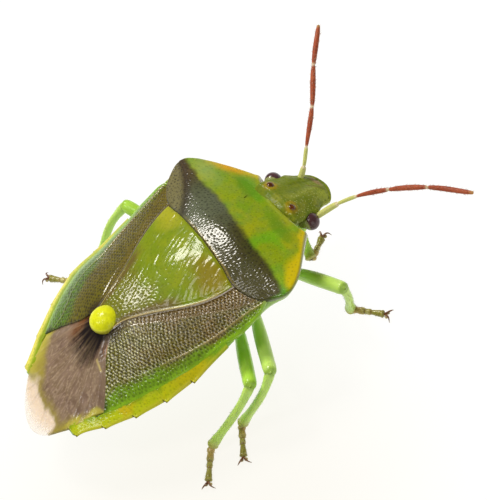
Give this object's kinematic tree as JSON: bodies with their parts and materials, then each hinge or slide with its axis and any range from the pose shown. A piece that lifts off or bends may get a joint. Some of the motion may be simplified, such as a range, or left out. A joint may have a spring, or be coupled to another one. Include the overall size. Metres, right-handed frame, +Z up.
{
  "type": "green shield bug",
  "caption": "Life-size green shield bug standing in a walking pose, with a broad pronotum, a triangular scutellum with a yellow knob, brown wing tips and long feelers.",
  "frame": {"origin": "on the floor that the feet stand on, under the centre of the bug's box, feelers and feet included", "axes": "+Z up, +Y towards the head, +X towards the bug's right side"},
  "size_m": [0.0104, 0.0142, 0.0037],
  "materials": {
    "pronotum_cuticle": "glossy cuticle, bright green in front, dark pitted band behind",
    "scutellum_cuticle": "glossy yellow-green cuticle with fine cross wrinkles and a yellow knob",
    "wing_leather": "dark olive-brown leathery wing with rows of pits and a green outer edge",
    "wing_membrane": "thin smoky brown wing membrane with fine veins and a clear tip",
    "strip_cuticle": "yellow-green cuticle with small dark corner points",
    "head_cuticle": "satin olive-green cuticle with fine pits",
    "eye_surface": "dark purple-brown, faceted and glossy",
    "antenna_surface": "reddish-brown segments with pale joints and pale green roots",
    "underside_cuticle": "pale green satin cuticle",
    "leg_cuticle": "bright green satin cuticle",
    "foot_cuticle": "olive-brown feet with dark brown claws"
  },
  "bodies": {
    "root": {"pronotum": "pronotum_cuticle", "thorax": "underside_cuticle", "scutellum": "scutellum_cuticle", "abdomen": "underside_cuticle", "head": "head_cuticle", "beak": "leg_cuticle", "corium_left": "wing_leather", "corium_right": "wing_leather", "membrane_left": "wing_membrane", "membrane_right": "wing_membrane", "side_strip_left": "strip_cuticle", "side_strip_right": "strip_cuticle", "eye_left": "eye_surface", "eye_right": "eye_surface", "antenna_left": "antenna_surface", "antenna_right": "antenna_surface", "fore_left_femur": "leg_cuticle", "fore_left_tibia": "leg_cuticle", "fore_left_tarsus": "foot_cuticle", "fore_right_femur": "leg_cuticle", "fore_right_tibia": "leg_cuticle", "fore_right_tarsus": "foot_cuticle", "mid_left_femur": "leg_cuticle", "mid_left_tibia": "leg_cuticle", "mid_left_tarsus": "foot_cuticle", "mid_right_femur": "leg_cuticle", "mid_right_tibia": "leg_cuticle", "mid_right_tarsus": "foot_cuticle", "hind_left_femur": "leg_cuticle", "hind_left_tibia": "leg_cuticle", "hind_left_tarsus": "foot_cuticle", "hind_right_femur": "leg_cuticle", "hind_right_tibia": "leg_cuticle", "hind_right_tarsus": "foot_cuticle"}
  },
  "joints": []
}
